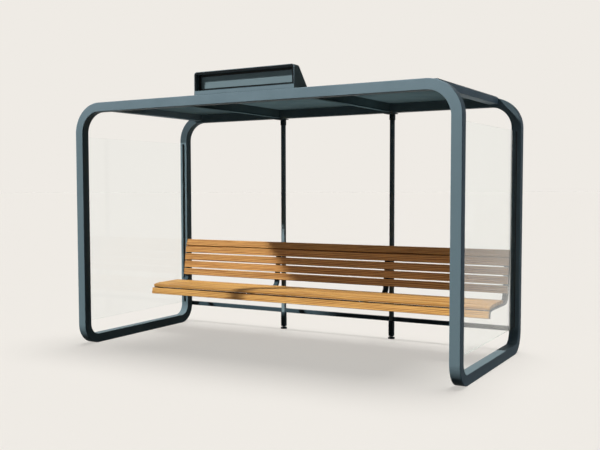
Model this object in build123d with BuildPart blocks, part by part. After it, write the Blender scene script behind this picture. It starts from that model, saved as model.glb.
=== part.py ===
"""Bus shelter: a continuous bent-tube frame with a flat roof, end panes, a slatted bench and a display box.

Millimetres. The origin is on the ground at the middle of the shelter's footprint: +X runs along the
length to the right, +Y runs from the open front to the back, and +Z is up.
"""
import math
import os

from build123d import *

# ---- driving dimensions ----
LENGTH = 3890.0            # outside width of the frame, over both end legs
FRAME_DEPTH = 1856.0       # outside depth of the frame, front legs to rear legs
HEIGHT = 2400.0            # ground to the top of the roof beams
TUBE = 90.0                # square tube of the frame, outside
TUBE_CORNER = 6.0          # rounding of the tube's long edges
TOP_BEND = 295.0           # outside radius of the four bends under the roof
BOTTOM_BEND = 205.0        # outside radius of the four bends at the ground

POST = 40.0                # square posts behind the rear beam
POST_CORNER = 3.0
POST_SLEEVE = 48.0         # sleeves at the head and the foot of a post, outside
FOOT_RADIUS = 34.0
FOOT_THICKNESS = 16.0
FOOT_STEM_RADIUS = 14.0
FOOT_STEM = 14.0           # visible stem between the foot disc and the sleeve
RAIL = 42.0                # square low rail between the legs and the posts
RAIL_BOTTOM = 185.0
HEAD_WIDTH = 104.0         # plate under the rear beam that holds a post's head...
HEAD_PLATE = 8.0           # ...its thickness...
HEAD_DROP = 58.0           # ...and the sleeve below it

PANEL = 4.0                # roof sheet, on top of the beams
PANEL_EDGE = 35.0          # from the faces of the beams in to the edge of the sheet
RIB_WIDTH = 40.0
RIB_DEPTH = 78.0
SIDE_BEAM_REACH = 80.0     # how far a roof side beam reaches past the start of the top bends
SIDE_BEAM_WIDTH = 85.0
SIDE_BEAM_DEPTH = 66.0
SIDE_BEAM_ROUND = 14.0     # rounding of its outer upper edge

PANE = 10.0                # end panes
PANE_GAP = 30.0            # between a pane's lower and upper edges and the nearest bends

SLAT_WIDTH = 74.0
SLAT_THICKNESS = 28.0
SLAT_ROUND = 5.0
SLAT_END_GAP = 2.0         # between a slat's end and the leg beside it
SEAT_HEIGHT = 516.0        # top of the flat slats
SEAT_SLATS = 5             # the front one slopes down, the others lie flat
SEAT_PITCH = 92.0
SEAT_REACH = 655.0         # from the rear of the frame forward to where the seat starts to slope
SEAT_SLOPE = 8.5           # degrees down to the front
NOSE_WIDTH = 66.0          # slat that closes the front of the seat
NOSE_REACH = 764.0         # upper edge of its face, in front of the rear of the frame...
NOSE_DROP = 45.0           # ...and below the top of the seat
NOSE_LEAN = 10.0           # degrees from upright
BACK_SLATS = 5             # the top one leans further back than the others
BACK_PITCH = 86.0
BACK_REACH = 168.0         # lower edge of the backrest's face, in front of the rear of the frame...
BACK_RISE = 47.0           # ...and above the top of the seat
BACK_LEAN = 8.5            # degrees from upright
TOP_LEAN = 26.0            # the same for the top slat

BRACKET_WIDTH = 50.0
BRACKET_DEPTH = 25.0
BRACKET_NOSE_BEND = 25.0   # middle radius at the front of the seat...
BRACKET_SEAT_BEND = 60.0   # ...where the seat starts to slope...
BRACKET_REAR_BEND = 88.0   # ...behind the seat...
BRACKET_BACK_BEND = 25.0   # ...and under the top slat
STUB = 40.0                # square stubs from a bracket to its post
STUB_PLACES = (40.0, 300.0)    # lengths up the backrest's face

DISPLAY_WIDTH = 1020.0
DISPLAY_HEIGHT = 196.0
DISPLAY_TOP_DEPTH = 100.0
DISPLAY_BASE_DEPTH = 250.0
DISPLAY_BACK_RISE = 34.0   # upright strip at the foot of the sloping back
DISPLAY_CORNER = 26.0      # rounding of the upper corners and edges
DISPLAY_PLINTH = 3.0       # recessed strip between the box and the roof sheet
DISPLAY_PLINTH_INSET = 8.0
DISPLAY_SET_BACK = 4.0     # of the box's face behind the face of the front beam
WINDOW_SIDE = 20.0         # border of the box's front opening
WINDOW_TOP = 22.0
WINDOW_SILL = 30.0
WINDOW_DEPTH = 60.0        # from the box's face to the back of its opening
BEZEL = 20.0               # inner frame of the screen
BEZEL_TOP = 19.0
BEZEL_DEPTH = 14.0
SCREEN = 6.0

# ---- places worked out from them ----
FRONT = -(FRAME_DEPTH + POST_SLEEVE / 2 + FOOT_RADIUS) / 2   # the feet reach furthest back
REAR = FRONT + FRAME_DEPTH                   # the posts' sleeves stand behind this plane
MIDDLE = (FRONT + REAR) / 2
BETWEEN_TUBES = FRAME_DEPTH - 2 * TUBE       # clear depth between the front and rear tubes
END = LENGTH / 2
INNER_END = END - TUBE
TOP_TANGENT = HEIGHT - TOP_BEND
BEAM_HALF = END - TOP_BEND
BEAM_BOTTOM = HEIGHT - TUBE
LEG_Y = {"front": FRONT + TUBE / 2, "rear": REAR - TUBE / 2}
SIDE = {"left": -1, "right": 1}
POST_X = (LENGTH - TUBE) / 3 / 2
POST_Y = REAR + POST_SLEEVE / 2
HEAD_PLATE_BOTTOM = BEAM_BOTTOM - HEAD_PLATE
SIDE_BEAM_FACE = BEAM_HALF + SIDE_BEAM_REACH
SLAT_HALF = INNER_END - SLAT_END_GAP
BRACKET_X = INNER_END - BRACKET_WIDTH / 2

os.makedirs("parts", exist_ok=True)


def save(part, name):
    """Label a finished piece and write it as its own STEP file."""
    part.label = name
    export_step(part, f"parts/{name}.step")


# ---- frame: legs ----
for row, leg_y in LEG_Y.items():
    for side, sign in SIDE.items():
        leg_x = sign * (END - TUBE / 2)
        with BuildPart() as leg:
            with BuildSketch(Plane((leg_x, leg_y, BOTTOM_BEND))):
                RectangleRounded(TUBE, TUBE, TUBE_CORNER)
            extrude(amount=TOP_TANGENT - BOTTOM_BEND)
        save(leg.part, f"{row}_{side}_leg")

# ---- frame: top bends and the two long roof beams ----
for row, beam_y in LEG_Y.items():
    for side, sign in SIDE.items():
        with BuildPart() as top_bend:
            with BuildSketch(Plane((sign * (END - TUBE / 2), beam_y, TOP_TANGENT))):
                RectangleRounded(TUBE, TUBE, TUBE_CORNER)
            bend_axis = Axis((sign * BEAM_HALF, beam_y, TOP_TANGENT), (0, -sign, 0))
            revolve(axis=bend_axis, revolution_arc=90)
        save(top_bend.part, f"{row}_{side}_top_bend")

    with BuildPart() as beam:
        beam_start = Plane((-BEAM_HALF, beam_y, HEIGHT - TUBE / 2), x_dir=(0, 1, 0), z_dir=(1, 0, 0))
        with BuildSketch(beam_start):
            RectangleRounded(TUBE, TUBE, TUBE_CORNER)
        extrude(amount=2 * BEAM_HALF)
    save(beam.part, f"{row}_roof_beam")

# ---- frame: bottom bends and the two bars on the ground ----
for side, sign in SIDE.items():
    bar_x = sign * (END - TUBE / 2)
    for row, leg_y, inward in (("front", LEG_Y["front"], 1), ("rear", LEG_Y["rear"], -1)):
        with BuildPart() as bottom_bend:
            with BuildSketch(Plane((bar_x, leg_y, BOTTOM_BEND))):
                RectangleRounded(TUBE, TUBE, TUBE_CORNER)
            bend_y = leg_y + inward * (BOTTOM_BEND - TUBE / 2)
            bend_axis = Axis((bar_x, bend_y, BOTTOM_BEND), (inward, 0, 0))
            revolve(axis=bend_axis, revolution_arc=90)
        save(bottom_bend.part, f"{row}_{side}_bottom_bend")

    with BuildPart() as ground_bar:
        bar_start = Plane((bar_x, FRONT + BOTTOM_BEND, TUBE / 2), x_dir=(1, 0, 0), z_dir=(0, 1, 0))
        with BuildSketch(bar_start):
            RectangleRounded(TUBE, TUBE, TUBE_CORNER)
        extrude(amount=FRAME_DEPTH - 2 * BOTTOM_BEND)
    save(ground_bar.part, f"{side}_ground_bar")

# ---- roof: sheet, two ribs over the posts, two side beams between the bends ----
with BuildPart() as roof_panel:
    with BuildSketch(Plane((0, MIDDLE, HEIGHT))):
        Rectangle(2 * BEAM_HALF, FRAME_DEPTH - 2 * PANEL_EDGE)
        Rectangle(2 * (SIDE_BEAM_FACE - SIDE_BEAM_ROUND), BETWEEN_TUBES)
    extrude(amount=PANEL)
save(roof_panel.part, "roof_panel")

for side, sign in SIDE.items():
    with BuildPart() as rib:
        rib_start = Plane((sign * POST_X, FRONT + TUBE, HEIGHT - RIB_DEPTH / 2),
                          x_dir=(1, 0, 0), z_dir=(0, 1, 0))
        with BuildSketch(rib_start):
            RectangleRounded(RIB_WIDTH, RIB_DEPTH, POST_CORNER)
        extrude(amount=BETWEEN_TUBES)
    save(rib.part, f"{side}_roof_rib")

    with BuildPart() as side_beam:
        side_beam_start = Plane((sign * (SIDE_BEAM_FACE - SIDE_BEAM_WIDTH / 2), FRONT + TUBE,
                                 HEIGHT - SIDE_BEAM_DEPTH / 2), x_dir=(1, 0, 0), z_dir=(0, 1, 0))
        with BuildSketch(side_beam_start):
            Rectangle(SIDE_BEAM_WIDTH, SIDE_BEAM_DEPTH)
        extrude(amount=BETWEEN_TUBES)
        outer_edges = side_beam.edges().filter_by(Axis.Y).group_by(Axis.X)[-1 if sign > 0 else 0]
        fillet(outer_edges.sort_by(Axis.Z)[-1], radius=SIDE_BEAM_ROUND)
    save(side_beam.part, f"{side}_roof_side_beam")

# ---- rear posts, their heads and feet, and the low rail ----
sleeve_bottom = FOOT_THICKNESS + FOOT_STEM
for side, sign in SIDE.items():
    with BuildPart() as post:
        with BuildSketch(Plane((sign * POST_X, POST_Y, RAIL_BOTTOM))):
            RectangleRounded(POST, POST, POST_CORNER)
        extrude(amount=HEAD_PLATE_BOTTOM - RAIL_BOTTOM)
    save(post.part, f"{side}_rear_post")

with BuildPart() as post_heads:
    plate_depth = TUBE - TUBE_CORNER + POST_SLEEVE
    with BuildSketch(Plane.XY.offset(HEAD_PLATE_BOTTOM)):
        for sign in SIDE.values():
            with Locations((sign * POST_X, REAR + POST_SLEEVE - plate_depth / 2)):
                Rectangle(HEAD_WIDTH, plate_depth)
    extrude(amount=HEAD_PLATE)
    with BuildSketch(Plane.XY.offset(HEAD_PLATE_BOTTOM)):
        for sign in SIDE.values():
            with Locations((sign * POST_X, POST_Y)):
                RectangleRounded(POST_SLEEVE, POST_SLEEVE, POST_CORNER)
                RectangleRounded(POST, POST, POST_CORNER, mode=Mode.SUBTRACT)
    extrude(amount=-HEAD_DROP)
save(post_heads.part, "post_heads")

with BuildPart() as post_feet:
    with BuildSketch(Plane.XY):
        for sign in SIDE.values():
            with Locations((sign * POST_X, POST_Y)):
                Circle(FOOT_RADIUS)
    extrude(amount=FOOT_THICKNESS)
    with BuildSketch(Plane.XY.offset(FOOT_THICKNESS)):
        for sign in SIDE.values():
            with Locations((sign * POST_X, POST_Y)):
                Circle(FOOT_STEM_RADIUS)
    extrude(amount=FOOT_STEM)
    with BuildSketch(Plane.XY.offset(sleeve_bottom)):
        for sign in SIDE.values():
            with Locations((sign * POST_X, POST_Y)):
                RectangleRounded(POST_SLEEVE, POST_SLEEVE, POST_CORNER)
    extrude(amount=RAIL_BOTTOM - sleeve_bottom)
save(post_feet.part, "post_feet")

rail_end = END - TUBE / 2
rail_spans = {
    "left": (-rail_end, -POST_X - POST / 2),
    "middle": (-POST_X + POST / 2, POST_X - POST / 2),
    "right": (POST_X + POST / 2, rail_end),
}
with BuildPart() as low_rails:
    for start_x, end_x in rail_spans.values():
        rail_start = Plane((start_x, REAR + RAIL / 2, RAIL_BOTTOM + RAIL / 2),
                           x_dir=(0, 1, 0), z_dir=(1, 0, 0))
        with BuildSketch(rail_start):
            RectangleRounded(RAIL, RAIL, POST_CORNER)
        extrude(amount=end_x - start_x)
save(low_rails.part, "low_rails")

# ---- end panes ----
pane_bottom = BOTTOM_BEND + PANE_GAP
pane_height = TOP_TANGENT - PANE_GAP - pane_bottom
for side, sign in SIDE.items():
    with BuildPart() as pane:
        pane_face = Plane((sign * (END - TUBE / 2) - PANE / 2, MIDDLE, pane_bottom + pane_height / 2),
                          x_dir=(0, 1, 0), z_dir=(1, 0, 0))
        with BuildSketch(pane_face):
            Rectangle(BETWEEN_TUBES, pane_height)
        extrude(amount=PANE)
    save(pane.part, f"{side}_end_pane")

# ---- bench: the straight runs of its face, from the nose to the top of the backrest ----
def face_run(y, z, rise):
    """A run through (y, z) that rises by some degrees: x along it to the rear, y out of its face."""
    angle = math.radians(rise)
    return Plane((0, y, z), x_dir=(0, math.cos(angle), math.sin(angle)), z_dir=(1, 0, 0))


def crossing(first, second, depth):
    """Where the lines that lie a depth behind two runs cross."""
    start = first.from_local_coords(Vector(0, -depth))
    across = second.from_local_coords(Vector(0, -depth)) - start
    turn = first.x_dir.cross(second.x_dir).X
    return start + first.x_dir * (across.cross(second.x_dir).X / turn)


def lay_slat(run, along, width, name):
    """A slat over the whole bench, its face in a run and its middle a length along that run."""
    middle = run.from_local_coords(Vector(along, -SLAT_THICKNESS / 2))
    with BuildPart() as slat:
        with BuildSketch(Plane((-SLAT_HALF, middle.Y, middle.Z), x_dir=run.x_dir, z_dir=(1, 0, 0))):
            RectangleRounded(width, SLAT_THICKNESS, SLAT_ROUND)
        extrude(amount=2 * SLAT_HALF)
    save(slat.part, name)


seat_gap = SEAT_PITCH - SLAT_WIDTH
back_gap = BACK_PITCH - SLAT_WIDTH
nose_run = face_run(REAR - NOSE_REACH, SEAT_HEIGHT - NOSE_DROP, 90 - NOSE_LEAN)
slope_run = face_run(REAR - SEAT_REACH, SEAT_HEIGHT, SEAT_SLOPE)
seat_run = face_run(REAR - SEAT_REACH, SEAT_HEIGHT, 0)
back_run = face_run(REAR - BACK_REACH, SEAT_HEIGHT + BACK_RISE, 90 - BACK_LEAN)
back_top = back_run.from_local_coords(Vector((BACK_SLATS - 1) * BACK_PITCH - back_gap / 2, 0))
top_run = face_run(back_top.Y, back_top.Z, 90 - TOP_LEAN)

# ---- bench: slats ----
lay_slat(nose_run, -NOSE_WIDTH / 2, NOSE_WIDTH, "seat_nose_slat")
lay_slat(slope_run, -SEAT_PITCH / 2, SLAT_WIDTH, "seat_slat_1")
for index in range(SEAT_SLATS - 1):
    lay_slat(seat_run, SEAT_PITCH / 2 + index * SEAT_PITCH, SLAT_WIDTH, f"seat_slat_{index + 2}")
for index in range(BACK_SLATS - 1):
    lay_slat(back_run, SLAT_WIDTH / 2 + index * BACK_PITCH, SLAT_WIDTH, f"back_slat_{index + 1}")
lay_slat(top_run, BACK_PITCH / 2, SLAT_WIDTH, f"back_slat_{BACK_SLATS}")

# ---- bench: four bent brackets behind and under the slats ----
middle_depth = SLAT_THICKNESS + BRACKET_DEPTH / 2
nose_foot = nose_run.from_local_coords(Vector(-NOSE_WIDTH, -middle_depth))
bracket_top = top_run.from_local_coords(Vector(back_gap / 2 + SLAT_WIDTH, -middle_depth))
bracket_points = [
    nose_foot,
    crossing(nose_run, slope_run, middle_depth),
    crossing(slope_run, seat_run, middle_depth),
    crossing(seat_run, back_run, middle_depth),
    crossing(back_run, top_run, middle_depth),
    bracket_top,
]
bracket_bends = [BRACKET_NOSE_BEND, BRACKET_SEAT_BEND, BRACKET_REAR_BEND, BRACKET_BACK_BEND]

bracket_places = {
    "left_end": (-BRACKET_X, False),
    "left_middle": (-POST_X, True),
    "right_middle": (POST_X, True),
    "right_end": (BRACKET_X, False),
}
for place, (bracket_x, on_post) in bracket_places.items():
    with BuildPart() as bracket:
        with BuildLine(Plane((bracket_x, 0, 0), x_dir=(0, 1, 0), z_dir=(1, 0, 0))) as bracket_path:
            FilletPolyline(*[(point.Y, point.Z) for point in bracket_points], radius=bracket_bends)
        bracket_start = Plane((bracket_x, nose_foot.Y, nose_foot.Z), x_dir=(1, 0, 0), z_dir=nose_run.x_dir)
        with BuildSketch(bracket_start):
            Rectangle(BRACKET_WIDTH, BRACKET_DEPTH)
        sweep(path=bracket_path.wire())
        if on_post:
            for stub_place in STUB_PLACES:
                stub_from = back_run.from_local_coords(Vector(stub_place, -middle_depth))
                stub_start = Plane((bracket_x, stub_from.Y, stub_from.Z), x_dir=(1, 0, 0), z_dir=(0, 1, 0))
                with BuildSketch(stub_start):
                    Rectangle(STUB, STUB)
                extrude(amount=POST_Y - POST / 2 - stub_from.Y)
    save(bracket.part, f"bench_bracket_{place}")

# ---- display box on the front beam ----
display_front = FRONT + DISPLAY_SET_BACK
display_bottom = HEIGHT + PANEL + DISPLAY_PLINTH
display_top = display_bottom + DISPLAY_HEIGHT
window_height = DISPLAY_HEIGHT - WINDOW_TOP - WINDOW_SILL
window_width = DISPLAY_WIDTH - 2 * WINDOW_SIDE
window_middle = display_bottom + WINDOW_SILL + window_height / 2
with BuildPart() as display_housing:
    side_plane = Plane((-DISPLAY_WIDTH / 2, display_front, display_bottom),
                       x_dir=(0, 1, 0), z_dir=(1, 0, 0))
    with BuildSketch(side_plane):
        with BuildLine():
            Polyline((0, 0), (DISPLAY_BASE_DEPTH, 0), (DISPLAY_BASE_DEPTH, DISPLAY_BACK_RISE),
                     (DISPLAY_TOP_DEPTH, DISPLAY_HEIGHT), (0, DISPLAY_HEIGHT), close=True)
        make_face()
    extrude(amount=DISPLAY_WIDTH)
    end_edges = display_housing.faces().filter_by(Axis.X).edges()
    top_and_back_edges = end_edges.filter_by(
        lambda edge: edge.center().Y > display_front and edge.center().Z > display_bottom)
    fillet(top_and_back_edges, radius=DISPLAY_CORNER)
    fillet(display_housing.edges().filter_by(Axis.X).group_by(Axis.Z)[-1].sort_by(Axis.Y)[-1],
           radius=DISPLAY_CORNER)
    with BuildSketch(Plane((0, display_front, window_middle), x_dir=(1, 0, 0), z_dir=(0, -1, 0))):
        RectangleRounded(window_width, window_height, DISPLAY_CORNER / 2)
    extrude(amount=-WINDOW_DEPTH, mode=Mode.SUBTRACT)
    plinth_front = FRONT + PANEL_EDGE
    plinth_depth = display_front + DISPLAY_BASE_DEPTH - DISPLAY_PLINTH_INSET - plinth_front
    with BuildSketch(Plane.XY.offset(HEIGHT + PANEL)):
        with Locations((0, plinth_front + plinth_depth / 2)):
            Rectangle(DISPLAY_WIDTH - 2 * DISPLAY_PLINTH_INSET, plinth_depth)
    extrude(amount=DISPLAY_PLINTH)
save(display_housing.part, "display_housing")

bezel_front = display_front + WINDOW_DEPTH - BEZEL_DEPTH
screen_height = window_height - BEZEL - BEZEL_TOP
screen_width = window_width - 2 * BEZEL
screen_middle = window_middle + (BEZEL - BEZEL_TOP) / 2
with BuildPart() as display_bezel:
    with BuildSketch(Plane((0, bezel_front, window_middle), x_dir=(1, 0, 0), z_dir=(0, -1, 0))):
        RectangleRounded(window_width, window_height, DISPLAY_CORNER / 2)
    extrude(amount=-BEZEL_DEPTH)
    with BuildSketch(Plane((0, bezel_front, screen_middle), x_dir=(1, 0, 0), z_dir=(0, -1, 0))):
        Rectangle(screen_width, screen_height)
    extrude(amount=-BEZEL_DEPTH, mode=Mode.SUBTRACT)
save(display_bezel.part, "display_bezel")

with BuildPart() as display_screen:
    screen_back = display_front + WINDOW_DEPTH
    with BuildSketch(Plane((0, screen_back, screen_middle), x_dir=(1, 0, 0), z_dir=(0, -1, 0))):
        Rectangle(screen_width, screen_height)
    extrude(amount=SCREEN)
save(display_screen.part, "display_screen")
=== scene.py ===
"""Finishes, small fittings, studio and camera for the bus shelter.

Metres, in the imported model's frame: +X runs along the length to the right, +Y from the open front
to the back and +Z up from the ground.
"""

import logging
import math
from dataclasses import dataclass
from enum import Enum

import bmesh
import bpy
from bmesh.types import BMesh, BMVert
from bpy.types import Material, Node, NodeSocket, NodeTree, Object
from mathutils import Matrix, Vector


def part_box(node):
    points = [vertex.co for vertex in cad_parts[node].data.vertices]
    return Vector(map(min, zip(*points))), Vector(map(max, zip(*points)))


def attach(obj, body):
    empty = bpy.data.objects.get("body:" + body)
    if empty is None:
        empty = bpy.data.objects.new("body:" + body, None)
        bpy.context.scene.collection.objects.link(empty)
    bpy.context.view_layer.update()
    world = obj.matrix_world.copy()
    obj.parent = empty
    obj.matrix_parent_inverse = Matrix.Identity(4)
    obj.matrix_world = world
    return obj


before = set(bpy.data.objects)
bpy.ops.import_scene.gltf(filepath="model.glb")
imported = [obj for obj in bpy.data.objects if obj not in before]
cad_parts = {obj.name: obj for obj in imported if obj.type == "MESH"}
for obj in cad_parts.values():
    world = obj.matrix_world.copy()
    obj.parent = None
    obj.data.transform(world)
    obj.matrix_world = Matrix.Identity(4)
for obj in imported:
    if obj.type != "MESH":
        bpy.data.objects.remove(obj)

LOG = logging.getLogger("bus_shelter")
BODY = "root"
MM = 0.001
HEXAGON = 6
Colour = tuple[float, float, float, float]
Point = tuple[float, float, float]
Span = tuple[float, float]
Outline = list[tuple[float, float]]  # X and Z


class Side(Enum):
    """The two ends of the shelter, with the sign of their X."""

    LEFT = -1
    RIGHT = 1

    @property
    def word(self) -> str:
        """Its word in the names of pieces."""
        return self.name.lower()


# ---- small tools ----
def linear(hex_colour: str) -> Colour:
    """Turn an sRGB hex colour into linear light.

    Args:
        hex_colour: six hex digits after a hash.

    Returns:
        Red, green and blue in linear light, and an alpha of 1.
    """
    channels = [int(hex_colour[i:i + 2], 16) / 255 for i in (1, 3, 5)]
    light = [c / 12.92 if c <= 0.04045 else ((c + 0.055) / 1.055) ** 2.4 for c in channels]
    return (light[0], light[1], light[2], 1.0)


def grey(level: float) -> Colour:
    """A neutral colour of that linear level."""
    return (level, level, level, 1.0)


def add_node(tree: NodeTree, kind: str, inputs: dict | None = None,
             stops: list[tuple[float, Colour]] | None = None, **settings: object) -> Node:
    """Add a shader node with its settings and inputs.

    Args:
        tree: the node tree that gets the node.
        kind: the node's class name after "ShaderNode".
        inputs: input name or number to its plain value, to the output socket that feeds it, or
            to a node whose first output does.
        stops: places and colours of a colour ramp.
        settings: attributes of the node itself.

    Returns:
        The new node.
    """
    made = tree.nodes.new(f"ShaderNode{kind}")
    for name, value in settings.items():
        setattr(made, name, value)
    for key, source in (inputs or {}).items():
        if isinstance(source, Node):
            source = next(socket for socket in source.outputs if socket.enabled)
        if isinstance(source, NodeSocket):
            tree.links.new(source, made.inputs[key])
        else:
            made.inputs[key].default_value = source
    if stops:
        ramp = made.color_ramp
        while len(ramp.elements) < len(stops):
            ramp.elements.new(1.0)
        for element, (place, colour) in zip(ramp.elements, stops):
            element.position, element.color = place, colour
    return made


def add_object(bm: BMesh, name: str, material: Material) -> Object:
    """Turn a bmesh into an object of the scene.

    Args:
        bm: the finished shape, in place; it is freed.
        name: the object's name.
        material: its finish.

    Returns:
        The new object.
    """
    mesh = bpy.data.meshes.new(name)
    bm.to_mesh(mesh)
    bm.free()
    mesh.materials.append(material)
    made = bpy.data.objects.new(name, mesh)
    bpy.context.scene.collection.objects.link(made)
    return made


def finish_piece(bm: BMesh, name: str, material: Material) -> None:
    """Turn a bmesh into a piece of the shelter that rides on its body.

    Args:
        bm: the finished shape, in place; it is freed.
        name: the piece's name.
        material: its finish.
    """
    bmesh.ops.recalc_face_normals(bm, faces=bm.faces)
    piece = add_object(bm, name, material)
    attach(piece, BODY)
    LOG.info("%s: %d faces", name, len(piece.data.polygons))


def give_finish(names: list[str], material: Material) -> None:
    """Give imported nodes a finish.

    Args:
        names: the nodes' names.
        material: the finish.
    """
    for name in names:
        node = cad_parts[name]
        node.data.materials.clear()
        node.data.materials.append(material)
    LOG.info("%s on %s", material.name, ", ".join(names))


def add_bar(bm: BMesh, low: Point, high: Point, edge: float) -> list[BMVert]:
    """Add a bar between two corners, with softened edges.

    Args:
        bm: the shape that gets it.
        low: the lowest corner.
        high: the highest corner.
        edge: width of the bevel on its edges.

    Returns:
        The bar's vertices.
    """
    size, middle = Vector(high) - Vector(low), (Vector(high) + Vector(low)) / 2
    place = Matrix.Translation(middle) @ Matrix.Diagonal((*size, 1.0))
    verts = bmesh.ops.create_cube(bm, size=1.0, matrix=place)["verts"]
    edges = list({e for v in verts for e in v.link_edges})
    made = bmesh.ops.bevel(bm, geom=edges, offset=edge, affect="EDGES", segments=2, profile=0.5,
                           material=-1)
    return list({v for f in made["faces"] for v in f.verts} | {v for v in verts if v.is_valid})


def add_disc(bm: BMesh, centre: Vector, up: Vector, radius: float, height: float, sides: int,
             edge: float = 0.0) -> None:
    """Add a round or many-sided head that stands on a surface.

    Args:
        bm: the shape that gets it.
        centre: middle of its foot.
        up: direction in which it stands up, of length 1.
        radius: from its axis to a corner.
        height: along its axis.
        sides: how many sides.
        edge: width of the bevel round its top.
    """
    turn = up.to_track_quat("Z", "Y").to_matrix().to_4x4()
    verts = bmesh.ops.create_cone(
        bm, cap_ends=True, segments=sides, radius1=radius, radius2=radius, depth=height,
        matrix=Matrix.Translation(centre + up * height / 2) @ turn)["verts"]
    if edge:
        top = {v for v in verts if (v.co - centre).dot(up) > height / 2}
        rim = list({e for v in top for e in v.link_edges if top.issuperset(e.verts)})
        bmesh.ops.bevel(bm, geom=rim, offset=edge, affect="EDGES", segments=2, profile=0.5,
                        material=-1)


# ---- finishes ----
@dataclass(frozen=True)
class Finish:
    """A finish, drawn by nodes on Object coordinates."""

    name: str

    def make(self) -> Material:
        """Make the material.

        Returns:
            The material, with its nodes linked up.
        """
        material = bpy.data.materials.new(self.name)
        material.use_nodes = True
        tree = material.node_tree
        tree.nodes.clear()
        add_node(tree, "OutputMaterial", {"Surface": self.surface(tree)})
        return material

    def surface(self, tree: NodeTree) -> Node:
        """Add the finish's own nodes.

        Args:
            tree: the material's node tree.

        Returns:
            The shader node.
        """
        raise NotImplementedError


@dataclass(frozen=True)
class PowderCoat(Finish):
    """Polyester powder coat on steel: sprayed and baked, satin, with a fine orange peel."""

    colour: str
    shade: str  # where the coat is thinner and slightly darker
    dust: str  # what settles on upward faces
    splashed: str  # its tone near the ground, blended upwards; on the posts it is painted sunlight
    roughness: float = 0.46
    rough_span: Span = (-0.05, 0.07)  # how far the roughness strays
    specular: float = 0.015
    patch: float = 0.35  # size of the slow changes in tone
    patch_span: Span = (0.35, 0.7)  # noise levels between which the tone changes
    smear: float = 60 * MM  # size of the changes in dust and sheen
    smear_span: Span = (0.3, 0.7)  # noise levels between which the sheen changes
    peel: float = 5 * MM  # the real peel is 1 mm: drawn coarser, so that it shows
    peel_depth: float = 0.4 * MM
    peel_strength: float = 0.12
    dust_share: float = 0.25
    dust_slope: float = 0.5  # the normal's Z above which dust starts to settle
    film_top: float = 2.38  # height at which the low colour ends
    film_fall: tuple[Span, ...] = ((0.1, 1.0), (0.85, 0.6), (1.0, 0.0))  # (share of it, strength)

    def surface(self, tree: NodeTree) -> Node:
        """Add tone patches, the colour near the ground, dust on what faces up and the orange peel.

        Args:
            tree: the material's node tree.

        Returns:
            The shader node.
        """
        place = add_node(tree, "TexCoord").outputs["Object"]
        tone = add_node(tree, "TexNoise", {
            "Vector": place, "Scale": 1 / self.patch, "Detail": 4.0, "Roughness": 0.6})
        tone_mask = add_node(tree, "ValToRGB", {"Fac": tone},
                             list(zip(self.patch_span, (grey(0.0), grey(1.0)))))
        base = add_node(tree, "Mix", {
            "Factor": tone_mask, "A": linear(self.colour), "B": linear(self.shade)},
            data_type="RGBA")

        # Darker towards the ground on the frame; on the posts the low colour is painted sunlight.
        height = add_node(tree, "SeparateXYZ", {"Vector": place}).outputs["Z"]
        level = add_node(tree, "MapRange", {"Value": height, "From Max": self.film_top})
        film = add_node(tree, "ValToRGB", {"Fac": level},
                        [(share, grey(strength)) for share, strength in self.film_fall])
        blended = add_node(tree, "Mix", {"Factor": film, "A": base, "B": linear(self.splashed)},
                          data_type="RGBA")

        normal = add_node(tree, "NewGeometry").outputs["Normal"]
        facing = add_node(tree, "SeparateXYZ", {"Vector": normal}).outputs["Z"]
        smear = add_node(tree, "TexNoise", {
            "Vector": place, "Scale": 1 / self.smear, "Detail": 8.0, "Roughness": 0.7})
        upward = add_node(tree, "MapRange", {
            "Value": facing, "From Min": self.dust_slope, "To Max": self.dust_share})
        dusty = add_node(tree, "Math", {0: upward, 1: smear}, operation="MULTIPLY")
        coloured = add_node(tree, "Mix", {"Factor": dusty, "A": blended, "B": linear(self.dust)},
                            data_type="RGBA")

        sheen = add_node(tree, "MapRange", {
            "Value": smear, "From Min": self.smear_span[0], "From Max": self.smear_span[1],
            "To Min": self.roughness + self.rough_span[0],
            "To Max": self.roughness + self.rough_span[1]})
        peel = add_node(tree, "TexNoise", {
            "Vector": place, "Scale": 1 / self.peel, "Detail": 2.0})
        bump = add_node(tree, "Bump", {
            "Height": peel, "Strength": self.peel_strength, "Distance": self.peel_depth})
        return add_node(tree, "BsdfPrincipled", {
            "Base Color": coloured, "Roughness": sheen, "Normal": bump,
            "Specular IOR Level": self.specular})


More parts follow.
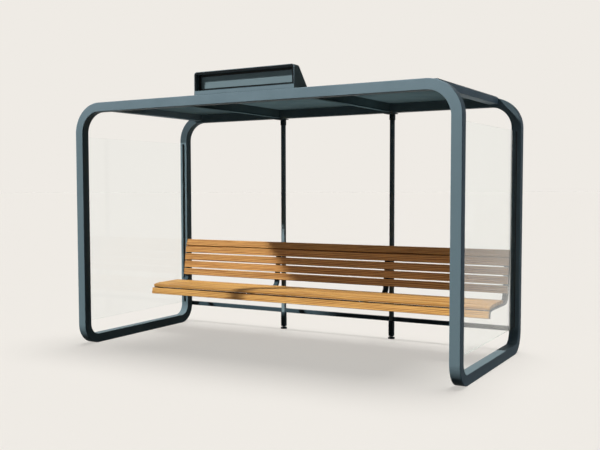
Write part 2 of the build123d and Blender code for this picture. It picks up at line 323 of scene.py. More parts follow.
@dataclass(frozen=True)
class OiledHardwood(Finish):
    """Planed and oiled hardwood: straight grain along X, honey to brown, with pores and rings."""

    pale: str
    middle: str
    dark: str
    tones: Point = (0.22, 0.45, 0.68)  # where in the grain dark, middle and pale lie
    streak: float = 16 * MM  # width of a streak across the grain
    streak_length: float = 0.7  # and along it
    ring: float = 60 * MM  # width and length of the pattern of rings
    ring_length: float = 1.4
    ring_share: float = 0.55  # how far the rings cut into the streaks
    fibre: float = 5 * MM  # fibres are finer: drawn as coarse as they show
    fibre_length: float = 0.12
    fibre_depth: float = 0.6 * MM
    fibre_strength: float = 0.25
    pore_span: Span = (0.34, 0.5)  # fibre levels from a pore to plain wood
    pore_tone: float = 0.55
    pore_share: float = 0.6
    roughness: float = 0.55
    rough_span: Span = (0.12, -0.08)  # what a pore and plain wood add to the roughness
    specular: float = 0.35
    darkest: float = 0.86  # how bright the darkest slat is, and the palest
    palest: float = 1.06
    own_piece: Point = (7.3, 1.9, 2.7)  # how far into the wood one slat can lie from the next

    def surface(self, tree: NodeTree) -> Node:
        """Add streaks, rings, fibres and pores, moved and toned anew for each slat.

        Args:
            tree: the material's node tree.

        Returns:
            The shader node.
        """
        place = add_node(tree, "TexCoord").outputs["Object"]
        chance = add_node(tree, "ObjectInfo").outputs["Random"]
        offset = add_node(tree, "VectorMath", {0: self.own_piece, "Scale": chance},
                          operation="SCALE")
        own = add_node(tree, "VectorMath", {0: place, 1: offset}, operation="ADD")

        def along_grain(length: float, width: float) -> Node:
            """Coordinates stretched along the slat."""
            return add_node(tree, "Mapping", {
                "Vector": own, "Scale": (1 / length, 1 / width, 1 / width)})

        streaks = add_node(tree, "TexNoise", {
            "Vector": along_grain(self.streak_length, self.streak), "Scale": 1.0, "Detail": 6.0,
            "Roughness": 0.62, "Distortion": 0.6})
        fibres = add_node(tree, "TexNoise", {
            "Vector": along_grain(self.fibre_length, self.fibre), "Scale": 1.0, "Detail": 5.0,
            "Roughness": 0.7})
        rings = add_node(tree, "TexWave", {
            "Vector": along_grain(self.ring_length, self.ring), "Scale": 1.3, "Distortion": 5.0,
            "Detail": 3.0, "Detail Scale": 1.2}, wave_type="RINGS", rings_direction="X")
        grain = add_node(tree, "Mix", {"Factor": self.ring_share, "A": streaks, "B": rings},
                         data_type="RGBA", blend_type="OVERLAY")
        colours = [linear(tone) for tone in (self.dark, self.middle, self.pale)]
        colour = add_node(tree, "ValToRGB", {"Fac": grain}, list(zip(self.tones, colours)))
        tone = add_node(tree, "MapRange", {
            "Value": chance, "To Min": self.darkest, "To Max": self.palest})
        toned = add_node(tree, "HueSaturation", {"Color": colour, "Value": tone})
        pores = add_node(tree, "ValToRGB", {"Fac": fibres},
                         list(zip(self.pore_span, (grey(self.pore_tone), grey(1.0)))))
        porous = add_node(tree, "Mix", {"Factor": self.pore_share, "A": toned, "B": pores},
                          data_type="RGBA", blend_type="MULTIPLY")

        sheen = add_node(tree, "MapRange", {
            "Value": fibres, "To Min": self.roughness + self.rough_span[0],
            "To Max": self.roughness + self.rough_span[1]})
        bump = add_node(tree, "Bump", {
            "Height": fibres, "Strength": self.fibre_strength, "Distance": self.fibre_depth})
        return add_node(tree, "BsdfPrincipled", {
            "Base Color": porous, "Roughness": sheen, "Normal": bump,
            "Specular IOR Level": self.specular})


@dataclass(frozen=True)
class ToughenedGlass(Finish):
    """Clear toughened float glass in a plane across X: it hardly shows from straight ahead,
    mirrors the pale surroundings at a flat angle, carries a film of dust that is denser towards
    the ground, and is green along its ground edges."""

    tint: str
    mirror: str
    film: str
    edge: str
    head_on: float = 0.01  # share mirrored straight ahead, by each face
    flat_share: float = 0.9  # share mirrored at the flattest angle
    flat_power: float = 5.0  # how fast that share grows towards a flat angle
    film_share: float = 0.008
    film_patch: float = 0.4  # size of the film's patches
    film_stretch: float = 0.6  # their width as a share of their height
    film_low: float = 0.25  # the film is densest up to this height
    film_high: float = 1.1  # and thinnest from this one on
    film_growth: float = 2.5  # how much denser it is low down
    edge_share: float = 0.3
    edge_span: Span = (0.3, 0.6)  # the normal's X, from the edges to the faces

    def surface(self, tree: NodeTree) -> Node:
        """Add the clear pane, its mirroring, the film of dust and the green edges.

        Args:
            tree: the material's node tree.

        Returns:
            The shader node.
        """
        facing = add_node(tree, "LayerWeight", {"Blend": 0.5}).outputs["Facing"]
        flat = add_node(tree, "Math", {0: facing, 1: self.flat_power}, operation="POWER")
        mirrored = add_node(tree, "MapRange", {
            "Value": flat, "To Min": self.head_on, "To Max": self.flat_share})
        clear = add_node(tree, "BsdfTransparent", {"Color": linear(self.tint)})
        sheen = add_node(tree, "BsdfPrincipled", {
            "Base Color": linear(self.mirror), "Metallic": 1.0, "Roughness": 0.02})
        glass = add_node(tree, "MixShader", {"Fac": mirrored, 1: clear, 2: sheen})

        place = add_node(tree, "TexCoord").outputs["Object"]
        tall = add_node(tree, "Mapping", {
            "Vector": place, "Scale": (1.0, 1.0, self.film_stretch)})
        cloud = add_node(tree, "TexNoise", {
            "Vector": tall, "Scale": 1 / self.film_patch, "Detail": 6.0, "Roughness": 0.65})
        height = add_node(tree, "SeparateXYZ", {"Vector": place}).outputs["Z"]
        low = add_node(tree, "MapRange", {
            "Value": height, "From Min": self.film_low, "From Max": self.film_high,
            "To Min": self.film_growth, "To Max": 1.0})
        film = add_node(tree, "Math", {0: cloud, 1: low}, operation="MULTIPLY")
        film_mask = add_node(tree, "Math", {0: film, 1: self.film_share}, operation="MULTIPLY",
                             use_clamp=True)
        dust = add_node(tree, "BsdfPrincipled", {
            "Base Color": linear(self.film), "Roughness": 0.9, "Specular IOR Level": 0.1})
        dusty = add_node(tree, "MixShader", {"Fac": film_mask, 1: glass, 2: dust})

        normal = add_node(tree, "NewGeometry").outputs["Normal"]
        across = add_node(tree, "SeparateXYZ", {"Vector": normal}).outputs["X"]
        face = add_node(tree, "Math", {0: across}, operation="ABSOLUTE")
        edge_mask = add_node(tree, "MapRange", {
            "Value": face, "From Min": self.edge_span[0], "From Max": self.edge_span[1],
            "To Min": self.edge_share, "To Max": 0.0})
        edge = add_node(tree, "BsdfPrincipled", {
            "Base Color": linear(self.edge), "Roughness": 0.3})
        edged = add_node(tree, "MixShader", {"Fac": edge_mask, 1: dusty, 2: edge})
        shadow_ray = add_node(tree, "LightPath").outputs["Is Shadow Ray"]
        return add_node(tree, "MixShader", {"Fac": shadow_ray, 1: edged, 2: clear})


@dataclass(frozen=True)
class MouldedSurface(Finish):
    """Moulded plastic or rubber, or dipped steel: an even colour with a fine grain."""

    colour: str
    fleck: str
    grain: float
    roughness: float
    rough_span: Span = (-0.06, 0.06)  # how far the roughness strays
    specular: float = 0.4
    fleck_span: Span = (0.3, 0.75)  # grain levels from plain to flecked
    grain_depth: float = 0.4 * MM
    grain_strength: float = 0.2

    def surface(self, tree: NodeTree) -> Node:
        """Add the grain, in colour, sheen and depth.

        Args:
            tree: the material's node tree.

        Returns:
            The shader node.
        """
        place = add_node(tree, "TexCoord").outputs["Object"]
        grain = add_node(tree, "TexNoise", {
            "Vector": place, "Scale": 1 / self.grain, "Detail": 4.0, "Roughness": 0.6})
        colour = add_node(tree, "ValToRGB", {"Fac": grain}, list(zip(
            self.fleck_span, (linear(self.colour), linear(self.fleck)))))
        sheen = add_node(tree, "MapRange", {
            "Value": grain, "To Min": self.roughness + self.rough_span[0],
            "To Max": self.roughness + self.rough_span[1]})
        bump = add_node(tree, "Bump", {
            "Height": grain, "Strength": self.grain_strength, "Distance": self.grain_depth})
        return add_node(tree, "BsdfPrincipled", {
            "Base Color": colour, "Roughness": sheen, "Normal": bump,
            "Specular IOR Level": self.specular})


@dataclass(frozen=True)
class MatrixScreen(Finish):
    """Switched-off matrix display behind matt glass: grey cells in a fine upright grid."""

    cell: str
    gap: str
    sheen: str  # of the anti-glare layer
    pitch: float = 8 * MM  # real cells are 4 mm apart: drawn coarser, so that they show
    gap_share: float = 0.12  # of the pitch
    gap_softness: float = 0.4
    haze: float = 1 / 6  # size of its patches
    roughness: float = 0.32
    specular: float = 0.6

    def surface(self, tree: NodeTree) -> Node:
        """Add the grid of cells, in X and Z of the screen, partly lost in haze.

        Args:
            tree: the material's node tree.

        Returns:
            The shader node.
        """
        place = add_node(tree, "TexCoord").outputs["Object"]
        parts = add_node(tree, "SeparateXYZ", {"Vector": place}).outputs
        flat = add_node(tree, "CombineXYZ", {"X": parts["X"], "Y": parts["Z"]})
        cells = add_node(tree, "Mapping", {
            "Vector": flat, "Scale": (1 / self.pitch, 1 / self.pitch, 1.0)})
        grid = add_node(tree, "TexBrick", {
            "Vector": cells, "Color1": linear(self.cell), "Color2": linear(self.cell),
            "Mortar": linear(self.gap), "Scale": 1.0, "Mortar Size": self.gap_share,
            "Mortar Smooth": self.gap_softness, "Brick Width": 1.0, "Row Height": 1.0},
            offset=0.0, squash=1.0)
        haze = add_node(tree, "TexNoise", {
            "Vector": place, "Scale": 1 / self.haze, "Detail": 3.0})
        soft = add_node(tree, "Mix", {"Factor": haze, "A": grid, "B": linear(self.cell)},
                        data_type="RGBA")
        return add_node(tree, "BsdfPrincipled", {
            "Base Color": soft, "Roughness": self.roughness,
            "Specular IOR Level": self.specular, "Specular Tint": linear(self.sheen)})


@dataclass(frozen=True)
class StudioFloor(Finish):
    """A floor that glows like the backdrop and is dimmed by the object's shadow."""

    colour: str
    shadow_share: float  # how dark it can get under the object
    bounce: float  # share of its light that it returns to the object

    def surface(self, tree: NodeTree) -> Node:
        """Add the glow, which gives the object no light, and the matt part that takes the shadow.

        Args:
            tree: the material's node tree.

        Returns:
            The shader node.
        """
        diffuse_ray = add_node(tree, "LightPath").outputs["Is Diffuse Ray"]
        dimmer = add_node(tree, "MapRange", {
            "Value": diffuse_ray, "To Min": 1.0, "To Max": self.bounce})
        colour = add_node(tree, "VectorMath", {0: linear(self.colour)[:3], "Scale": dimmer},
                          operation="SCALE")
        matt = add_node(tree, "BsdfDiffuse", {"Color": colour})
        strength = add_node(tree, "Math", {0: 1.0, 1: diffuse_ray}, operation="SUBTRACT")
        glow = add_node(tree, "Emission", {"Color": linear(self.colour), "Strength": strength})
        return add_node(tree, "MixShader", {"Fac": self.shadow_share, 1: glow, 2: matt})


@dataclass(frozen=True)
class Gauze(Finish):
    """Thin grey gauze, or a black flag where nothing passes."""

    passed: float  # share of the light that gets through

    def surface(self, tree: NodeTree) -> Node:
        """The only node: it lets that share through."""
        return add_node(tree, "BsdfTransparent", {"Color": grey(self.passed)})


# Bent steel tube, blasted, sprayed with polyester powder and baked: an even slate blue with a soft,
# low sheen and a faint orange peel, dust on what faces up, and darker towards the ground.
FRAME_COAT = PowderCoat("satin_powder_coat_slate", "#71858F", "#697D87", "#8E989A", "#60737B")
# The same coat on cold-drawn posts: a deeper slate, painted shade under the roof, so that they
# stand back behind the frame, and paler towards the ground, painted sunlight on their lower parts.
SHADED_POST_COAT = PowderCoat("satin_powder_coat_slate_posts", "#4D616B", "#455963", "#6E7878", "#7A8D95")
# The same coat on flat and square bar under the bench, darkened as painted shade: the darkest
# slate.
SHADED_RAIL_COAT = PowderCoat("satin_powder_coat_slate_rails", "#3A4A52", "#34434B", "#5A6466", "#3A4A52")
# Flat bar in matt black powder behind two bench joints, as painted shade: hardly any light comes
# back, so that the joints read as dark lines.
JOINT_SHADE_COAT = PowderCoat("matt_powder_coat_black", "#16191B", "#121517", "#1E2224", "#16191B",
                        roughness=0.7, specular=0.02)
# Steel sheet, coil coated, with a sprayed compound against drumming rain: matt, with no sheen at
# a flat angle, and darker than the frame as painted shade under the roof.
SHADED_UNDERSIDE_COAT = PowderCoat("matt_anti_drumming_coat", "#596E73", "#4F6368", "#596E73", "#596E73",
                            roughness=0.8, specular=0.0, dust_share=0.0)
# Folded aluminium sheet, sprayed with structured powder and baked: graphite, with a rougher grain
# than the frame.
CASING_COAT = PowderCoat("structured_powder_coat_graphite", "#45565A", "#3D4D51", "#5A6466",
                         "#45565A", roughness=0.6, specular=0.1, peel=4 * MM)
# Tropical hardwood, planed, rounded and oiled: honey yellow with straight darker streaks, open
# pores and rings.
SEAT_WOOD = OiledHardwood("oiled_hardwood_seat", "#CEA463", "#BA8C4F", "#875A2C")
# The same wood on the backrest, browner and darker than the seat as painted shade under the roof.
SHADED_BACK_WOOD = OiledHardwood("oiled_hardwood_back", "#C0945C", "#AA7C48", "#744B28")
# Float glass, cut, ground at the edges and toughened: clear straight ahead, pale at a flat angle,
# with faintly green edges.
PANE_GLASS = ToughenedGlass("toughened_float_glass", "#FEFFFF", "#FCFFFE", "#D9DDD6", "#7FA79A")
# Extruded EPDM rubber: near black, matt, with fine talc in its grain.
GASKET_RUBBER = MouldedSurface("extruded_epdm_rubber", "#15191B", "#23282A", 3 * MM, 0.7)
# Injection-moulded ABS with an eroded finish: black, with a dull, even sheen.
BEZEL_PLASTIC = MouldedSurface("moulded_abs_black", "#0C1013", "#171C20", 2 * MM, 0.45,
                               specular=0.15)
# Forged steel dipped in zinc flake: a pale, even, slightly grainy grey.
BOLT_STEEL = MouldedSurface("zinc_flake_steel", "#8C9294", "#A3A8A9", 2 * MM, 0.4, specular=0.6)
# LED cells moulded in a grid behind etched glass: switched off, a blue-grey with a soft sky sheen.
SCREEN = MatrixScreen("matrix_screen_off", "#6E8087", "#5F7279", "#BCE1F3")


# ---- sub-assemblies ----
@dataclass
class TubeFrame:
    """The two bent portals and the ground bars."""

    coat: Material

    def dress(self) -> None:
        """Give every tube its coat."""
        tubes = [f"{row}_{side.word}_{part}" for row in ("front", "rear") for side in Side
                 for part in ("leg", "top_bend", "bottom_bend")]
        tubes += ["front_roof_beam", "rear_roof_beam", "left_ground_bar", "right_ground_bar"]
        give_finish(tubes, self.coat)


@dataclass
class Roof:
    """Sheet, ribs and side beams, with the beams' drip edges and the ribs' flanges."""

    coat: Material
    underside: Material
    drip_height: float = 9 * MM
    drip_depth: float = 4 * MM
    flange_reach: float = 3 * MM
    flange_depth: float = 5 * MM
    edge: float = 1.2 * MM  # bevel of both

    def build_drip_edge(self, side: Side) -> None:
        """Add a slim strip along the lower outer edge of a side beam.

        Args:
            side: the beam's end of the shelter.
        """
        low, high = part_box(f"{side.word}_roof_side_beam")
        face = high.x if side is Side.RIGHT else low.x
        outer = face + side.value * self.drip_depth
        bm = bmesh.new()
        add_bar(bm, (min(face, outer), low.y, low.z),
                (max(face, outer), high.y, low.z + self.drip_height), self.edge)
        finish_piece(bm, f"{side.word}_roof_drip_edge", self.coat)

    def build_rib_flange(self, side: Side) -> None:
        """Add a flat bar, welded along the foot of a rib.

        Args:
            side: the rib's end of the shelter.
        """
        low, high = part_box(f"{side.word}_roof_rib")
        bm = bmesh.new()
        add_bar(bm, (low.x - self.flange_reach, low.y, low.z - self.flange_depth),
                (high.x + self.flange_reach, high.y, low.z), self.edge)
        finish_piece(bm, f"{side.word}_roof_rib_flange", self.underside)

    def dress(self) -> None:
        """Coat the side beams, and the sheet and its ribs."""
        give_finish(["left_roof_side_beam", "right_roof_side_beam"], self.coat)
        give_finish(["roof_panel", "left_roof_rib", "right_roof_rib"], self.underside)


@dataclass
class RearPosts:
    """The two posts with their heads and adjustable feet, and the low rail."""

    coat: Material
    rail_coat: Material
    steel: Material
    screw_radius: float = 5 * MM
    screw_height: float = 3 * MM
    screw_sides: int = 16
    screw_edge: float = 0.8 * MM
    head_screw: float = 20 * MM  # above the foot of the head sleeves
    foot_screws: Span = (25 * MM, 105 * MM)  # below the top of the foot sleeves
    nut_radius: float = 19 * MM
    nut_height: float = 8 * MM
    nut_edge: float = 1.2 * MM
    nut_top: float = 30 * MM  # above the ground, where the stem enters its sleeve

    def middles(self) -> list[Vector]:
        """The middle of each post."""
        boxes = [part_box(f"{side.word}_rear_post") for side in Side]
        return [(low + high) / 2 for low, high in boxes]

    def build_screws(self) -> None:
        """Add socket screws in the head and foot sleeves, on the side away from the frame."""
        head_low, head_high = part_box("post_heads")
        foot_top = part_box("post_feet")[1].z
        heights = [head_low.z + self.head_screw] + [foot_top - drop for drop in self.foot_screws]
        bm = bmesh.new()
        for middle in self.middles():
            for height in heights:
                add_disc(bm, Vector((middle.x, head_high.y, height)), Vector((0, 1, 0)),
                         self.screw_radius, self.screw_height, self.screw_sides, self.screw_edge)
        finish_piece(bm, "post_sleeve_screws", self.steel)

    def build_lock_nuts(self) -> None:
        """Add a lock nut on the stem of each adjustable foot."""
        bm = bmesh.new()
        for middle in self.middles():
            add_disc(bm, Vector((middle.x, middle.y, self.nut_top - self.nut_height)),
                     Vector((0, 0, 1)), self.nut_radius, self.nut_height, HEXAGON, self.nut_edge)
        finish_piece(bm, "post_foot_lock_nuts", self.steel)

    def dress(self) -> None:
        """Coat the posts, their ends and the rail."""
        give_finish(["left_rear_post", "right_rear_post"], self.coat)
        give_finish(["post_heads", "low_rails", "post_feet"], self.rail_coat)


@dataclass
class EndPanes:
    """The two glass panes with their rubber gaskets along the legs."""

    glass: Material
    rubber: Material
    gasket_width: float = 18 * MM
    gasket_depth: float = 9 * MM
    gasket_edge: float = 1 * MM

    def build_gaskets(self, side: Side) -> None:
        """Add a rubber lip on both faces of a pane, down both of its upright edges.

        Args:
            side: the pane's end of the shelter.
        """
        low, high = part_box(f"{side.word}_end_pane")
        middle, half = (low.x + high.x) / 2, self.gasket_width / 2
        bm = bmesh.new()
        for start, end in ((low.y, low.y + self.gasket_depth),
                           (high.y - self.gasket_depth, high.y)):
            for inner, outer in ((middle - half, low.x), (high.x, middle + half)):
                add_bar(bm, (inner, start, low.z), (outer, end, high.z), self.gasket_edge)
        finish_piece(bm, f"{side.word}_pane_gaskets", self.rubber)

    def dress(self) -> None:
        """Glaze both ends."""
        give_finish(["left_end_pane", "right_end_pane"], self.glass)


@dataclass
class Bench:
    """Slats on four bent brackets, with the bolts that hold them and bars behind two joints, whose
    black is painted shade in the gaps.
    """

    seat_wood: Material
    back_wood: Material
    coat: Material
    joint_coat: Material
    steel: Material
    rail_gap: float = 0.5 * MM  # between the nose slat and its bar
    rail_thickness: float = 3 * MM
    rail_height: float = 32 * MM
    rail_edge: float = 0.5 * MM
    top_rail_height: float = 22 * MM
    top_rail_offset: float = 3.6 * MM  # from the slats' backs to the bar's middle
    bolt_radius: float = 8 * MM
    bolt_height: float = 5 * MM
    bolt_edge: float = 0.8 * MM
    washer_radius: float = 12 * MM
    washer_height: float = 1.5 * MM
    washer_sides: int = 20
    slat_depth: float = 28 * MM  # from here on, the part's own sizes
    bracket_depth: float = 25 * MM
    back_lean: float = math.radians(8.5)
    top_lean: float = math.radians(26.0)  # of the uppermost back slat
    seat_slope: float = math.radians(8.5)  # of the front seat slat

    def brackets(self) -> list[str]:
        """The bracket nodes' names."""
        return [f"bench_bracket_{place}"
                for place in ("left_end", "left_middle", "right_middle", "right_end")]

    def spans(self) -> list[Span]:
        """The free stretches along X between one bracket and the next."""
        boxes = [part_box(bracket) for bracket in self.brackets()]
        return [(start.x, end.x) for (_, start), (end, _) in zip(boxes, boxes[1:])]

    def through(self, lean: float) -> Vector:
        """The direction from face to back through a slat that leans back by that angle."""
        return Vector((0, math.cos(lean), -math.sin(lean)))

    def directions(self) -> dict[str, Vector]:
        """Find how the bolts run.

        Returns:
            For each bolted slat, the direction from its face through its back.
        """
        ways = {f"seat_slat_{i}": Vector((0, 0, -1)) for i in range(2, 6)}
        ways["seat_slat_1"] = self.through(math.pi / 2 - self.seat_slope)
        ways |= {f"back_slat_{i}": self.through(self.back_lean) for i in range(1, 5)}
        ways["back_slat_5"] = self.through(self.top_lean)
        return ways

    def build_nose_rail(self) -> None:
        """Add a flat black bar behind the nose slat's joint with the front slat: painted shade."""
        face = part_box("seat_nose_slat")[1].y + self.rail_gap
        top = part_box("seat_slat_1")[0].z
        bm = bmesh.new()
        for start, end in self.spans():
            add_bar(bm, (start, face, top - self.rail_height),
                    (end, face + self.rail_thickness, top), self.rail_edge)
        finish_piece(bm, "seat_nose_rail", self.joint_coat)

    def build_top_rail(self) -> None:
        """Add a flat black bar behind the joint of the two uppermost back slats: painted shade."""
        lower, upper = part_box("back_slat_4")[1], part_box("back_slat_5")[0]
        lean = (self.back_lean + self.top_lean) / 2
        below = Vector((0, lower.y, lower.z - self.slat_depth * math.sin(self.back_lean)))
        above = Vector((0, upper.y + self.slat_depth * math.cos(self.top_lean), upper.z))
        middle = (below + above) / 2 + self.through(lean) * self.top_rail_offset
        bm = bmesh.new()
        for start, end in self.spans():
            half = Vector((end - start, self.rail_thickness, self.top_rail_height)) / 2
            verts = add_bar(bm, tuple(-half), tuple(half), self.rail_edge)
            place = Matrix.Translation(middle + Vector(((start + end) / 2, 0, 0)))
            bmesh.ops.transform(bm, matrix=place @ Matrix.Rotation(-lean, 4, "X"), verts=verts)
        finish_piece(bm, "backrest_top_rail", self.joint_coat)

    def build_bolts(self) -> None:
        """Add a washer and a hexagon head behind each bracket, for each slat."""
        depth = self.slat_depth / 2 + self.bracket_depth
        bm = bmesh.new()
        for bracket in self.brackets():
            low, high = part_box(bracket)
            for slat, way in self.directions().items():
                slat_low, slat_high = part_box(slat)
                foot = (slat_low + slat_high) / 2 + way * depth
                foot.x = (low.x + high.x) / 2
                add_disc(bm, foot, way, self.washer_radius, self.washer_height, self.washer_sides)
                add_disc(bm, foot + way * self.washer_height, way, self.bolt_radius,
                         self.bolt_height, HEXAGON, self.bolt_edge)
        finish_piece(bm, "bench_bolts", self.steel)

    def dress(self) -> None:
        """Oil the slats and coat the brackets."""
        give_finish([f"seat_slat_{i}" for i in range(1, 6)] + ["seat_nose_slat"], self.seat_wood)
        give_finish([f"back_slat_{i}" for i in range(1, 6)], self.back_wood)
        give_finish(self.brackets(), self.coat)


@dataclass
class DisplayBox:
    """The display on the roof: casing, stepped inner frame, screen and the trim on its front."""

    casing: Material
    plastic: Material
    screen: Material
    coat: Material
    sill_top: float = 30 * MM  # above the casing's foot
    sill_depth: float = 3 * MM
    sill_gap: float = 0.5 * MM  # over the beam
    sill_edge: float = 1 * MM
    rim_depth: float = 1 * MM
    bead: float = 4 * MM
    corner: float = 26 * MM  # rounding of the casing's front
    opening_corner: float = 13 * MM
    corner_steps: int = 8

    def arch(self, half: float, foot: float, top: float, radius: float) -> Outline:
        """Draw the outline of an opening with rounded upper corners.

        Args:
            half: half its width.
            foot: where its sides start.
            top: its highest point.
            radius: rounding of the upper corners.

        Returns:
            Its points as X and Z, from the left foot over the top to the right foot.
        """
        turns = [math.pi / 2 * step / self.corner_steps for step in range(self.corner_steps + 1)]
        left = [(-half, foot)] + [(-half + radius * (1 - math.cos(t)),
                                   top - radius * (1 - math.sin(t))) for t in turns]
        return left + [(-x, z) for x, z in reversed(left)]

    def build_border(self, name: str, outlines: list[Outline], finish: Material) -> None:
        """Add a thin border on the casing's front.

        Args:
            name: the piece's name.
            outlines: its outer and its inner outline, as X and Z.
            finish: its material.
        """
        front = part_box("display_housing")[0].y
        bm = bmesh.new()
        outer, inner = [[bm.verts.new((x, front, z)) for x, z in line] for line in outlines]
        faces = [bm.faces.new((outer[i], outer[i + 1], inner[i + 1], inner[i]))
                 for i in range(len(outer) - 1)]
        made = bmesh.ops.extrude_face_region(bm, geom=faces)["geom"]
        bmesh.ops.translate(bm, vec=(0, -self.rim_depth, 0),
                            verts=[item for item in made if isinstance(item, BMVert)])
        finish_piece(bm, name, finish)

    def build_rim(self) -> None:
        """Add a slim coated bead along the casing's edge, and a black border inside it."""
        housing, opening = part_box("display_housing")[1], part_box("display_bezel")[1]
        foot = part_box("display_bezel")[0].z
        edge = self.arch(housing.x, foot, housing.z, self.corner)
        middle = self.arch(housing.x - self.bead, foot, housing.z - self.bead,
                           self.corner - self.bead)
        inner = self.arch(opening.x, foot, opening.z, self.opening_corner)
        self.build_border("display_bead", [edge, middle], self.coat)
        self.build_border("display_rim", [middle, inner], self.plastic)

    def build_sill(self) -> None:
        """Add a coated strip along the foot of the box's front."""
        low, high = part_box("display_housing")
        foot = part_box("front_roof_beam")[1].z + self.sill_gap
        bm = bmesh.new()
        add_bar(bm, (low.x, low.y - self.sill_depth, foot),
                (high.x, low.y, low.z + self.sill_top), self.sill_edge)
        finish_piece(bm, "display_sill_strip", self.coat)

    def dress(self) -> None:
        """Finish the casing, the inner frame and the screen."""
        give_finish(["display_housing"], self.casing)
        give_finish(["display_bezel"], self.plastic)
        give_finish(["display_screen"], self.screen)


# ---- studio ----
def spare(lamp: Object, leave_out: list[Object]) -> None:
    """Keep a lamp's light off some objects.

    Args:
        lamp: the lamp.
        leave_out: the objects that it doesn't light.
    """
    linked = bpy.data.collections.new(f"{lamp.name}_leaves_out")
    for item in leave_out:
        linked.objects.link(item)
    lamp.light_linking.receiver_collection = linked
    for entry in linked.collection_objects:
        entry.light_linking.link_state = "EXCLUDE"


@dataclass(frozen=True)
class SoftLamp:
    """A lamp far away."""

    name: str
    strength: float
    softness: float  # degrees
    direction: Point
    colour: str = "#FFFFFF"

    def build(self, leave_out: list[Object]) -> None:
        """Put the lamp up.

        Args:
            leave_out: the objects that it doesn't light.
        """
        lamp = bpy.data.lights.new(self.name, "SUN")
        lamp.energy = self.strength
        lamp.angle = math.radians(self.softness)
        lamp.color = linear(self.colour)[:3]
        made = bpy.data.objects.new(self.name, lamp)
        made.rotation_mode = "QUATERNION"
        made.rotation_quaternion = Vector(self.direction).to_track_quat("-Z", "Y")
        made.visible_glossy = False
        bpy.context.scene.collection.objects.link(made)
        spare(made, leave_out)


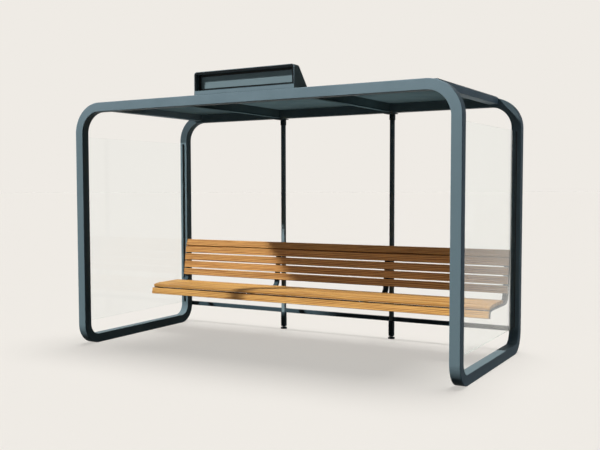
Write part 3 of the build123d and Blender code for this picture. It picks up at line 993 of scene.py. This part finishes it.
@dataclass
class Studio:
    """Pale surroundings, a key lamp from the front left, soft helpers, and a floor that keeps the
    object's shadow."""

    background: str = "#EFEBE5"
    ambient: str = "#DCE8F0"  # what reaches the object from the surroundings
    fill: float = 0.07  # and how strongly
    floor_size: float = 400.0
    shadow_share: float = 0.4
    floor_bounce: float = 0.2
    key: SoftLamp = SoftLamp("key", 5.8, 3.0, (0.905, 0.83, -1.0), "#FDFAF6")
    wood: SoftLamp = SoftLamp("warm_front", 0.85, 60.0, (0.1, 1.0, -0.35), "#FFE4CE")
    right: SoftLamp = SoftLamp("right_side", 0.42, 40.0, (-1.0, 0.1, -0.2), "#D0E4FF")
    back: SoftLamp = SoftLamp("back", 1.5, 40.0, (0.05, -1.0, -0.12))
    overhead: SoftLamp = SoftLamp("overhead", 3.03, 30.0, (0.0, -0.15, -1.0), "#FFFEFD")
    bounce: float = 6.0  # watts
    bounce_spread: float = math.radians(70)
    bounce_size: Span = (3.2, 1.0)
    bounce_place: Point = (0.0, 0.2, 1.2)
    bounce_spares: tuple[str, ...] = ("rear_roof_beam", "post_heads", "left_rear_post",
                                      "right_rear_post")
    cutters: tuple[tuple[Point, Point, float], ...] = (  # two corners and the share passed
        ((-2.07, -0.93, 2.37), (-1.73, -0.30, 2.37), 0.0),  # before the backrest's left end
        ((1.64, 0.80, 2.10), (1.96, 0.80, 2.40), 0.4),  # before the rear right bend
        ((-1.96, 0.80, 2.10), (-1.64, 0.80, 2.40), 0.4))  # and the rear left one

    def build_world(self) -> None:
        """Make surroundings that look pale, also mirrored and through glass, and light the object
        dimly."""
        world = bpy.data.worlds.new("studio")
        world.use_nodes = True
        bpy.context.scene.world = world
        tree = world.node_tree
        tree.nodes.clear()
        path = add_node(tree, "LightPath").outputs
        seen = add_node(tree, "Math", {0: path["Is Camera Ray"], 1: path["Is Transmission Ray"]},
                        operation="MAXIMUM")
        shown = add_node(tree, "Math", {0: seen, 1: path["Is Glossy Ray"]}, operation="MAXIMUM")
        light = add_node(tree, "Background", {
            "Color": linear(self.ambient), "Strength": self.fill})
        pale = add_node(tree, "Background", {"Color": linear(self.background), "Strength": 1.0})
        both = add_node(tree, "MixShader", {"Fac": shown, 1: light, 2: pale})
        add_node(tree, "OutputWorld", {"Surface": both})

    def build_sheet(self, name: str, low: Point, high: Point, material: Material) -> Object:
        """Add a level sheet, or an upright one along X, of studio equipment.

        Args:
            name: the object's name.
            low: its lowest corner.
            high: its highest corner, level with the lowest, or at the same Y if it is upright.
            material: its finish.

        Returns:
            The new object.
        """
        half, middle = (Vector(high) - Vector(low)) / 2, (Vector(high) + Vector(low)) / 2
        upright = half.z > 0
        turn = Matrix.Rotation(math.pi / 2 if upright else 0.0, 4, "X")
        stretch = Matrix.Diagonal((half.x, half.z if upright else half.y, 1.0, 1.0))
        bm = bmesh.new()
        bmesh.ops.create_grid(bm, x_segments=1, y_segments=1, size=1.0,
                              matrix=Matrix.Translation(middle) @ turn @ stretch)
        sheet = add_object(bm, name, material)
        return sheet

    def build_floor(self) -> Object:
        """Add a wide floor that shows the background, dimmed by the object's shadow.

        Returns:
            The floor.
        """
        material = StudioFloor("pale_studio_floor", self.background, self.shadow_share,
                               self.floor_bounce).make()
        material.cycles.emission_sampling = "NONE"
        half = self.floor_size / 2
        return self.build_sheet("floor", (-half, -half, 0.0), (half, half, 0.0), material)

    def build_cutters(self) -> None:
        """Add small pieces of gauze by the roof, unseen, that trim the lamps' light."""
        for low, high, passed in self.cutters:
            cutter = self.build_sheet("cutter", low, high, Gauze("studio_gauze", passed).make())
            cutter.visible_camera = cutter.visible_diffuse = cutter.visible_glossy = False
            cutter.visible_transmission = False

    def build_bounce(self) -> None:
        """Add a soft lamp under the roof, unseen, that lifts the roof's underside."""
        lamp = bpy.data.lights.new("bounce", "AREA")
        lamp.shape = "RECTANGLE"
        lamp.size, lamp.size_y = self.bounce_size
        lamp.energy, lamp.spread = self.bounce, self.bounce_spread
        made = bpy.data.objects.new("bounce", lamp)
        made.matrix_world = (Matrix.Translation(Vector(self.bounce_place))
                             @ Matrix.Rotation(math.pi, 4, "X"))
        made.visible_camera = made.visible_glossy = made.visible_transmission = False
        bpy.context.scene.collection.objects.link(made)
        spare(made, [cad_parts[name] for name in self.bounce_spares])

    def build(self) -> None:
        """Build the surroundings, the floor and the lamps, each with what it lights."""
        self.build_world()
        floor = self.build_floor()
        self.build_cutters()
        self.build_bounce()
        meshes = [item for item in bpy.data.objects if item.type == "MESH"]
        ends = ("leg", "bend", "ground_bar", "side_beam", "drip_edge")
        self.key.build([floor])
        self.back.build([floor])
        self.wood.build([item for item in meshes if "slat" not in item.name])
        self.right.build([item for item in meshes
                          if not ("right" in item.name and item.name.endswith(ends))])
        self.overhead.build([item for item in meshes if item is not floor])


@dataclass
class StudioCamera:
    """Eye-height view from the front right, with a shifted lens."""

    place: Point = (3.938, -7.336, 1.574)
    yaw: float = -31.958  # degrees, from +Y towards +X
    pitch: float = -3.318
    roll: float = -0.323
    lens: float = 51.3  # millimetres, as the sensor's width
    sensor_width: float = 36.0
    shift_x: float = 0.1016
    shift_y: float = 0.0189

    def build(self) -> None:
        """Make the camera and hand it to the scene."""
        yaw, pitch, roll = (math.radians(v) for v in (self.yaw, self.pitch, self.roll))
        forward = Vector((math.sin(yaw) * math.cos(pitch), math.cos(yaw) * math.cos(pitch),
                          math.sin(pitch)))
        level = Vector((math.cos(yaw), -math.sin(yaw), 0.0))
        upward = level.cross(forward)
        right = level * math.cos(roll) + upward * math.sin(roll)
        top = upward * math.cos(roll) - level * math.sin(roll)
        data = bpy.data.cameras.new("camera")
        data.lens, data.sensor_width = self.lens, self.sensor_width
        data.shift_x, data.shift_y = self.shift_x, self.shift_y
        camera = bpy.data.objects.new("camera", data)
        turn = Matrix((right, top, -forward)).transposed().to_4x4()
        camera.matrix_world = Matrix.Translation(Vector(self.place)) @ turn
        bpy.context.scene.collection.objects.link(camera)
        bpy.context.scene.camera = camera


def main() -> None:
    """Build every sub-assembly, the studio and the camera."""
    logging.basicConfig(level=logging.INFO)
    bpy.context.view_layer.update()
    StudioCamera().build()

    coat, rail_coat, steel = FRAME_COAT.make(), SHADED_RAIL_COAT.make(), BOLT_STEEL.make()
    TubeFrame(coat).dress()

    roof = Roof(coat, SHADED_UNDERSIDE_COAT.make())
    for side in Side:
        roof.build_drip_edge(side)
        roof.build_rib_flange(side)
    roof.dress()

    posts = RearPosts(SHADED_POST_COAT.make(), rail_coat, steel)
    posts.build_screws()
    posts.build_lock_nuts()
    posts.dress()

    panes = EndPanes(PANE_GLASS.make(), GASKET_RUBBER.make())
    for side in Side:
        panes.build_gaskets(side)
    panes.dress()

    bench = Bench(SEAT_WOOD.make(), SHADED_BACK_WOOD.make(), rail_coat, JOINT_SHADE_COAT.make(), steel)
    bench.build_nose_rail()
    bench.build_top_rail()
    bench.build_bolts()
    bench.dress()

    display = DisplayBox(CASING_COAT.make(), BEZEL_PLASTIC.make(), SCREEN.make(), coat)
    display.build_rim()
    display.build_sill()
    display.dress()

    Studio().build()
    scene = bpy.context.scene
    scene.view_settings.view_transform = "Standard"
    # With the light tree, the key lamp's light goes missing where other lamps leave objects out.
    scene.cycles.use_light_tree = False


if __name__ == "__main__":
    main()
